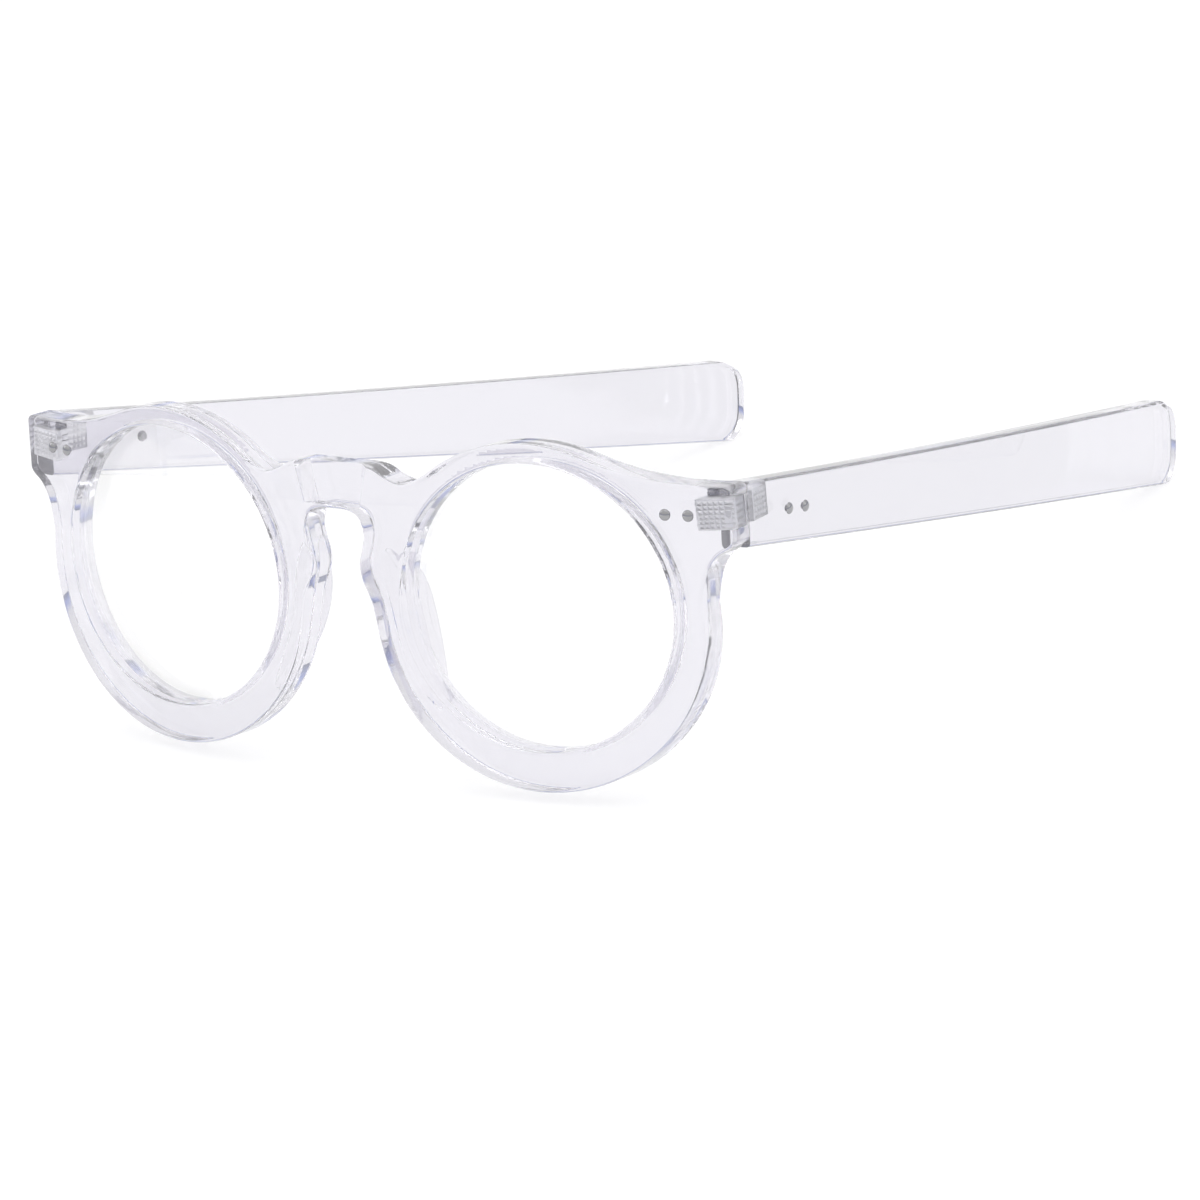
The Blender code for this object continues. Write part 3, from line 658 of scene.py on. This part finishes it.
def knurl(piece, direction, cuts):
    """Divides the broad faces that look along a direction and raises a pyramid on each square."""
    edit(piece, "FACE")
    pick_faces(piece, lambda face: abs(face.normal.dot(direction)) > 0.9
               and face.calc_area() > KNURLED_AREA)
    bpy.ops.mesh.inset(thickness=KNURL_BORDER, use_individual=True)
    bpy.ops.mesh.subdivide(number_cuts=cuts)
    bpy.ops.mesh.poke(offset=KNURL_HEIGHT)
    bpy.ops.object.mode_set(mode="OBJECT")


def knuckle_span(index):
    pitch = HINGE_HEIGHT / KNUCKLES
    low = -HINGE_HEIGHT / 2 + index * pitch
    gap = KNUCKLE_GAP / 2
    return low + (gap if index else 0), low + pitch - (gap if index < KNUCKLES - 1 else 0)


PIN_U, PIN_S = -PIN_INSET, PIN_SETBACK


def knuckle(index, name):
    low, high = knuckle_span(index)
    deselect_all()
    bpy.ops.mesh.primitive_cylinder_add(vertices=40, radius=KNUCKLE_RADIUS, depth=high - low,
                                        location=(PIN_U, PIN_S, HINGE_MIDDLE_Z + (low + high) / 2))
    barrel = name_piece(bpy.context.object, name)
    bpy.ops.object.transform_apply(location=True, rotation=True, scale=True)
    return round_edges(barrel, KNUCKLE_ROUNDING, 2, 60)


def hinge_half(leaf, web_low, web_high, indices):
    """Joins knuckles to a leaf, each on its own web, and sets the half at its lean."""
    for index in indices:
        low, high = knuckle_span(index)
        web = block("web", (*web_low, HINGE_MIDDLE_Z + low), (*web_high, HINGE_MIDDLE_Z + high))
        cut_or_join(leaf, web, "UNION")
        cut_or_join(leaf, knuckle(index, "knuckle"), "UNION")
    place(leaf, LEAN @ TEMPLE_FRAME)
    return weld(leaf)


# %% Hinge halves
# leaf corners in outward and along, from the end piece's corner
FRONT_LEAF_LOW = (-6.6 * MM, -2.4 * MM)
FRONT_LEAF_HIGH = (-0.9 * MM, -0.05 * MM)
TEMPLE_LEAF_STARTS = 2.6 * MM
TEMPLE_LEAF_ENDS = 6.9 * MM
TEMPLE_LEAF_DEPTH = 2.3 * MM
TEMPLE_LEAF_SKIN = 0.02 * MM
STRAP_ENDS = 3.1 * MM
LEAF_ROUNDING = 0.12 * MM
hinge_low, hinge_high = HINGE_MIDDLE_Z - HINGE_HEIGHT / 2, HINGE_MIDDLE_Z + HINGE_HEIGHT / 2
half_web = KNUCKLE_RADIUS * 0.95
front_leaf = block("front_hinge_left_steel", (*FRONT_LEAF_LOW, hinge_low),
                   (*FRONT_LEAF_HIGH, hinge_high))
round_edges(front_leaf, LEAF_ROUNDING)
knurl(front_leaf, Vector((0, 1, 0)), 5)
knurl(front_leaf, Vector((1, 0, 0)), 3)
front_hinge_left = hinge_half(front_leaf, (PIN_U - half_web, FRONT_LEAF_LOW[1] / 2),
                              (PIN_U + half_web, PIN_S), range(0, KNUCKLES, 2))
report(front_hinge_left)

inner = -TEMPLE_THICKNESS
skin = inner + TEMPLE_LEAF_SKIN
temple_leaf = block("temple_hinge_left_steel", (skin, TEMPLE_LEAF_STARTS, hinge_low),
                    (inner + TEMPLE_LEAF_DEPTH, TEMPLE_LEAF_ENDS, hinge_high))
round_edges(temple_leaf, LEAF_ROUNDING)
knurl(temple_leaf, Vector((1, 0, 0)), 4)
knurl(temple_leaf, Vector((0, 1, 0)), 3)
strap = block("strap", (skin, JOINT_GAP, hinge_low),
              (inner + LEAF_BRIDGE, STRAP_ENDS, hinge_high))
cut_or_join(temple_leaf, strap, "UNION")
temple_hinge_left = hinge_half(temple_leaf, (PIN_U, JOINT_GAP),
                               (inner + LEAF_BRIDGE / 2, PIN_S + half_web),
                               range(1, KNUCKLES, 2))
report(temple_hinge_left)

# %% [markdown]
# ## Screws and rivets
#
# The pin is a screw with a slotted head. The four studs on the front and the four on the temples
# are polished rivet heads, shallow domes with a short shank in the plastic. Both are turned parts,
# so they are ring stacks: each ring is one step of the profile.

# %% Turned parts
SCREW_HEAD_RADIUS = 0.95 * MM
SCREW_HEAD_HEIGHT = 0.6 * MM
SCREW_SEAT_GAP = 0.06 * MM
SCREW_END = 0.2 * MM
SLOT_HALF_WIDTH = 0.12 * MM
SLOT_FLOOR = 0.3 * MM
TURNED_CENTRE = 0.1 * MM
RIVET_RADIUS = 0.85 * MM
RIVET_HEIGHT = 0.5 * MM
RIVET_DEPTH = 1.1 * MM
RIVET_SHANK = 0.5 * MM
FRONT_RIVETS_X = (56.2 * MM, 59.7 * MM)
TEMPLE_RIVETS_S = (12.2 * MM, 17.1 * MM)


def turned(name, profile, sides=40):
    """A profile of (radius, height) turned round z."""
    piece = ring_stack(name, [(radius, radius, height) for radius, height in profile], sides)
    return place(piece, Matrix.Rotation(math.pi / 2, 4, "X"))


screw_seat = HINGE_HEIGHT / 2 + SCREW_SEAT_GAP
screw_top = screw_seat + SCREW_HEAD_HEIGHT
screw_foot = -HINGE_HEIGHT / 2 - SCREW_END
hinge_screw_left = turned("hinge_screw_left_steel", [
    (TURNED_CENTRE, screw_top), (SCREW_HEAD_RADIUS * 0.75, screw_top),
    (SCREW_HEAD_RADIUS * 0.93, screw_top - 0.1 * MM), (SCREW_HEAD_RADIUS, screw_top - 0.25 * MM),
    (SCREW_HEAD_RADIUS, screw_seat), (SCREW_RADIUS, screw_seat), (SCREW_RADIUS, screw_foot),
    (TURNED_CENTRE, screw_foot)])
slot_cutter = block("slot_cutter", (-1.5 * MM, -SLOT_HALF_WIDTH, screw_seat + SLOT_FLOOR),
                    (1.5 * MM, SLOT_HALF_WIDTH, screw_top + MM))
cut_or_join(hinge_screw_left, slot_cutter, "DIFFERENCE")
report(hinge_screw_left)
place(hinge_screw_left, LEAN @ Matrix.Translation(PIN))

dome = [(RIVET_RADIUS * math.sin(math.radians(a)), RIVET_HEIGHT * math.cos(math.radians(a)))
        for a in (4, 15, 30, 45, 60, 75, 86)]
rivet = turned("rivet", dome + [(RIVET_RADIUS, -0.02 * MM), (RIVET_SHANK, -0.04 * MM),
                                (RIVET_SHANK, -RIVET_DEPTH), (TURNED_CENTRE, -RIVET_DEPTH)])
report(rivet)


def front_rivet_frame(x):
    slope = math.atan2(x, FRONT_BOW_RADIUS)
    return (Matrix.Translation((x, bow_depth(x), HINGE_MIDDLE_Z)) @ Matrix.Rotation(slope, 4, "Z")
            @ Matrix.Rotation(math.pi / 2, 4, "X"))


def temple_rivet_frame(s):
    z = (temple_top(s) + temple_bottom(s)) / 2
    return (TEMPLE_FRAME @ Matrix.Translation((0, s, z)) @ Matrix.Rotation(math.pi / 2, 4, "Y"))


metal_pairs = [(front_hinge_left, "front_hinge", "front"),
               (temple_hinge_left, "temple_hinge", "temple"),
               (hinge_screw_left, "hinge_screw", "front")]
for label, x in zip(("inner", "outer"), FRONT_RIVETS_X):
    stud = place(copy_of(rivet, f"front_rivet_{label}_left_steel"), front_rivet_frame(x))
    metal_pairs.append((stud, f"front_rivet_{label}", "front"))
for label, s in zip(("front", "rear"), TEMPLE_RIVETS_S):
    stud = place(copy_of(rivet, f"temple_rivet_{label}_left_steel"), temple_rivet_frame(s))
    metal_pairs.append((stud, f"temple_rivet_{label}", "temple"))
bpy.data.objects.remove(rivet, do_unlink=True)

metal = []
for piece, label, body in metal_pairs:
    twin = mirror_copy(piece, f"{label}_right_steel")
    for made, side in ((piece, "left"), (twin, "right")):
        stand(made)
        shade(made, 30)
        metal.append((made, f"{label}_{side}", body if body == "front" else f"temple_{side}"))
        report(made)

# %% [markdown]
# ## A small language for finishes
#
# Shader sums read best as sums. `Value` wraps a socket, and `+` and `*` on it add Math nodes.
# `Finish` holds one material, and its `node` method adds any other node: the type, then its
# settings, then its sockets.

# %% Shader helpers
class Value:
    """A number that comes out of a socket."""

    def __init__(self, finish, socket):
        self.finish = finish
        self.socket = socket

    def _math(self, operation, first, second):
        return self.finish.node("ShaderNodeMath", {"operation": operation}, {0: first, 1: second})

    def __add__(self, other):
        return self._math("ADD", self, other)

    def __mul__(self, other):
        return self._math("MULTIPLY", self, other)

    __radd__ = __add__
    __rmul__ = __mul__


class Finish:
    """A node tree, with one method that adds any node."""

    def __init__(self, tree):
        self.tree = tree

    def node(self, kind, settings=None, sockets=None, output=0):
        made = self.tree.nodes.new(kind)
        for name, value in (settings or {}).items():
            if name == "stops":
                ramp = made.color_ramp
                while len(ramp.elements) < len(value):
                    ramp.elements.new(1)
                for element, (place_on_ramp, shade_of_stop) in zip(ramp.elements, value):
                    element.position = place_on_ramp
                    element.color = shade_of_stop
            else:
                setattr(made, name, value)
        for name, value in (sockets or {}).items():
            if isinstance(value, Value):
                self.tree.links.new(value.socket, made.inputs[name])
            else:
                made.inputs[name].default_value = value
        return Value(self, made.outputs[output]) if len(made.outputs) else made

    def object_place(self):
        return self.node("ShaderNodeTexCoord", output=3)

    def noise(self, scale, detail):
        return self.node("ShaderNodeTexNoise", sockets={
            "Vector": self.object_place(), "Scale": scale, "Detail": detail})

    def mixed_colour(self, share, first, second):
        return self.node("ShaderNodeMix", {"data_type": "RGBA"},
                         {0: share, 6: (*first, 1), 7: (*second, 1)}, output=2)


def new_finish(name):
    material = bpy.data.materials.new(name)
    material.use_nodes = True
    material.node_tree.nodes.clear()
    return material, Finish(material.node_tree)


def grey(value):
    return (value, value, value, 1)


# %% [markdown]
# ## Clear plastic and lenses
#
# Clear acetate is polished and nearly colourless, with a trace of lilac. The Principled shader bends
# the light and carries that tint, and very small waves and hazy patches come from noise on the
# piece's own coordinates, as on a tumbled surface. A small share of the light goes straight through,
# which stands for the light that a real sheet scatters along itself and that keeps its inner walls
# from going black. The pads are satin, and thin enough to let most light straight through.

# %% Clear finishes
PATCH_SCALE = 60.0
RIPPLE_SCALE = 220.0
RIPPLE_DEPTH = 0.05 * MM


def clear_finish(name, tint, tint_change, haze, ior, wave, straight):
    material, finish = new_finish(name)
    patches = finish.noise(PATCH_SCALE, 3.0)
    colour = finish.mixed_colour(patches, tint, tint_change)
    ripple = finish.noise(RIPPLE_SCALE, 1.0)
    bump = finish.node("ShaderNodeBump", sockets={
        "Strength": wave, "Distance": RIPPLE_DEPTH, "Height": ripple})
    surface = finish.node("ShaderNodeBsdfPrincipled", sockets={
        "Base Color": colour, "Roughness": patches * haze, "IOR": ior,
        "Transmission Weight": 1.0, "Normal": bump})
    unbent = finish.node("ShaderNodeBsdfTransparent", sockets={
        "Color": (*[math.sqrt(part) for part in tint], 1)})
    blend = finish.node("ShaderNodeMixShader", sockets={0: straight, 1: surface, 2: unbent})
    finish.node("ShaderNodeOutputMaterial", sockets={"Surface": blend})
    return material


clear_plastic = clear_finish("clear_acetate", tint=(0.825, 0.818, 0.862),
                             tint_change=(0.81, 0.80, 0.85), haze=0.02, ior=1.43, wave=0.02,
                             straight=0.06)
pad_plastic = clear_finish("satin_acetate", tint=(0.80, 0.79, 0.835),
                           tint_change=(0.79, 0.78, 0.825), haze=0.4, ior=1.43, wave=0.02,
                           straight=0.85)
lens_clear = clear_finish("clear_lens", tint=(1.0, 1.0, 1.0), tint_change=(0.995, 0.998, 1.0),
                          haze=0.01, ior=1.3, wave=0.0, straight=0.8)
print("clear finishes ready")

# %% [markdown]
# ## Metals
#
# The hinges are nickel silver, slightly matt where they were stamped. The rivet heads are polished,
# and the screws are darker. Each has a fine noise in its colour and roughness.

# %% Metal finishes
def metal_finish(name, dark, light, rough_low, rough_high, grain):
    material, finish = new_finish(name)
    speckle = finish.noise(grain, 4.0)
    colour = finish.mixed_colour(speckle, dark, light)
    roughness = rough_low + speckle * (rough_high - rough_low)
    surface = finish.node("ShaderNodeBsdfPrincipled", sockets={
        "Base Color": colour, "Roughness": roughness, "Metallic": 1.0})
    finish.node("ShaderNodeOutputMaterial", sockets={"Surface": surface})
    return material


# each with its dark and light tone, lowest and highest roughness, and the grain's scale
nickel_silver = metal_finish("nickel_silver", (0.74, 0.74, 0.75), (0.92, 0.92, 0.92), 0.25, 0.45,
                             2500.0)
polished_steel = metal_finish("polished_rivet", (0.30, 0.30, 0.31), (0.42, 0.42, 0.43), 0.08, 0.16,
                              1500.0)
screw_steel = metal_finish("dark_screw", (0.22, 0.22, 0.24), (0.36, 0.36, 0.38), 0.2, 0.35, 2000.0)

# %% [markdown]
# ## Putting it together
#
# Every piece gets its finish, rides on the body that moves it, and stands in for its solid.

# %% Finishes and bodies
assembly = [
    (front, clear_plastic, "front", "clear_plastic",
     ("front_frame", "nose_pad_left", "nose_pad_right")),
    (lens_left, lens_clear, "front", "lens", ("lens_left",)),
    (lens_right, lens_clear, "front", "lens", ("lens_right",)),
    (temple_left, clear_plastic, "temple_left", "clear_plastic", ("temple_left",)),
    (temple_right, clear_plastic, "temple_right", "clear_plastic", ("temple_right",)),
]
for piece, node, body in metal:
    if "rivet" in node:
        look, slot_name = polished_steel, "polished_steel"
    elif "screw" in node:
        look, slot_name = screw_steel, "screw_steel"
    else:
        look, slot_name = nickel_silver, "hinge_steel"
    assembly.append((piece, look, body, slot_name, (node,)))

for piece, look, body, slot_name, nodes in assembly:
    piece.data.materials.clear()
    piece.data.materials.append(look)
    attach(piece, body)
    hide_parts(*nodes)
print(len(assembly), "pieces ride on", sorted({row[2] for row in assembly}))

# %% [markdown]
# ## Clear pieces and their shadows
#
# Clear plastic on a bright table lets nearly all light through and leaves only a faint contact
# shadow, so the clear pieces cast none of their own. The pads are part of the front's mesh, and
# their faces, all those behind the front's back beside the nose, take the satin finish.

# %% Satin pads
for piece in (front, lens_left, lens_right, temple_left, temple_right):
    piece.visible_shadow = False
PAD_START = 0.1 * MM


def on_a_pad(face):
    """Faces behind the front's back, beside the nose."""
    here = STANCE.inverted() @ face.calc_center_median()
    back = FRONT_THICKNESS + bow_depth(here.x)
    return abs(here.x) < LENS_CENTRE_X / 2 and here.y > back + PAD_START


front.data.materials.append(pad_plastic)
edit(front, "FACE")
pick_faces(front, on_a_pad)
front.active_material_index = 1
bpy.ops.object.material_slot_assign()
bpy.ops.object.mode_set(mode="OBJECT")
print(sum(face.material_index for face in front.data.polygons), "satin faces")

# %% [markdown]
# ## Floor, light and camera
#
# A clear object is drawn by what surrounds it: bright all round it vanishes, so the studio is white
# above and on the floor, and darker and bluish just above the horizon, which gives the edges their
# thin grey lines and the blue glints. The camera itself sees a plain white backdrop.

# %% Floor
FLOOR_SIZE = 8.0
FLOOR_DROP = 0.2 * MM
FLOOR_DARK = (0.62, 0.62, 0.62)
FLOOR_LIGHT = (0.64, 0.64, 0.64)
FLOOR_GLOW = 0.38
deselect_all()
bpy.ops.mesh.primitive_plane_add(size=FLOOR_SIZE, location=(0, 0, -FLOOR_DROP))
floor = name_piece(bpy.context.object, "studio_floor")
floor_material, floor_finish = new_finish("pale_floor")
cloud = floor_finish.noise(3.0, 2.0)
floor_colour = floor_finish.mixed_colour(cloud, FLOOR_DARK, FLOOR_LIGHT)
floor_surface = floor_finish.node("ShaderNodeBsdfPrincipled", sockets={
    "Base Color": floor_colour, "Roughness": 0.9, "Specular IOR Level": 0.0,
    "Emission Color": grey(1.0), "Emission Strength": FLOOR_GLOW})
floor_finish.node("ShaderNodeOutputMaterial", sockets={"Surface": floor_surface})
floor.data.materials.append(floor_material)
print("floor", FLOOR_SIZE, "m wide")

# %% Light
SKY_STRENGTH = 1.08
world = bpy.data.worlds.new("studio")
bpy.context.scene.world = world
world.use_nodes = True
world.node_tree.nodes.clear()
sky = Finish(world.node_tree)
direction = sky.node("ShaderNodeTexCoord", output=0)
height = sky.node("ShaderNodeSeparateXYZ", sockets={0: direction}, output=2)
sky_colour = sky.node("ShaderNodeValToRGB", {"stops": [
    (0.0, grey(0.9)), (0.50, (0.26, 0.28, 0.36, 1)), (0.525, (0.36, 0.42, 0.72, 1)),
    (0.56, grey(0.80)), (1.0, grey(0.95))]},
    {0: height * 0.5 + 0.5})
studio = sky.node("ShaderNodeBackground", sockets={0: sky_colour, 1: SKY_STRENGTH})
backdrop = sky.node("ShaderNodeBackground", sockets={0: grey(1.0), 1: 1.0})
seen = sky.node("ShaderNodeLightPath", output=0)
mixed = sky.node("ShaderNodeMixShader", sockets={0: seen, 1: studio, 2: backdrop})
sky.node("ShaderNodeOutputWorld", sockets={0: mixed})


def softbox(name, place_at, size, watts):
    bpy.ops.object.light_add(type="AREA", location=place_at)
    lamp = bpy.context.object
    lamp.name = name
    lamp.data.shape = "SQUARE"
    lamp.data.size = size
    lamp.data.energy = watts
    lamp.rotation_euler = (-Vector(place_at)).to_track_quat("-Z", "Y").to_euler()
    return lamp


softbox("softbox_top", (0.1, -0.1, 1.6), 1.6, 3.0)
softbox("softbox_left", (-1.6, -0.5, 1.0), 1.0, 3.0)
softbox("softbox_right", (1.6, 0.4, 0.9), 1.0, 2.0)

# %% Camera
CAMERA_PLACE = Vector((0.58594, -0.73305, 0.30954))
CAMERA_AZIMUTH = math.radians(39.292)
CAMERA_HEIGHT = math.radians(18.128)
CAMERA_ROLL = math.radians(-7.484)
LENS_LENGTH = 191.3
camera_data = bpy.data.cameras.new("camera")
camera_data.lens = LENS_LENGTH
camera_data.sensor_width = 36.0
camera_data.clip_start = 0.01
camera = bpy.data.objects.new("camera", camera_data)
bpy.context.scene.collection.objects.link(camera)
back = Vector((math.sin(CAMERA_AZIMUTH) * math.cos(CAMERA_HEIGHT),
               -math.cos(CAMERA_AZIMUTH) * math.cos(CAMERA_HEIGHT), math.sin(CAMERA_HEIGHT)))
right = Vector((math.cos(CAMERA_AZIMUTH), math.sin(CAMERA_AZIMUTH), 0))
up = back.cross(right)
turned_right = right * math.cos(CAMERA_ROLL) + up * math.sin(CAMERA_ROLL)
turned_up = up * math.cos(CAMERA_ROLL) - right * math.sin(CAMERA_ROLL)
camera.matrix_world = (Matrix.Translation(CAMERA_PLACE)
                       @ Matrix((turned_right, turned_up, back)).transposed().to_4x4())
bpy.context.scene.camera = camera
bpy.context.scene.view_settings.view_transform = "Standard"
print("camera at", [round(part, 3) for part in CAMERA_PLACE])
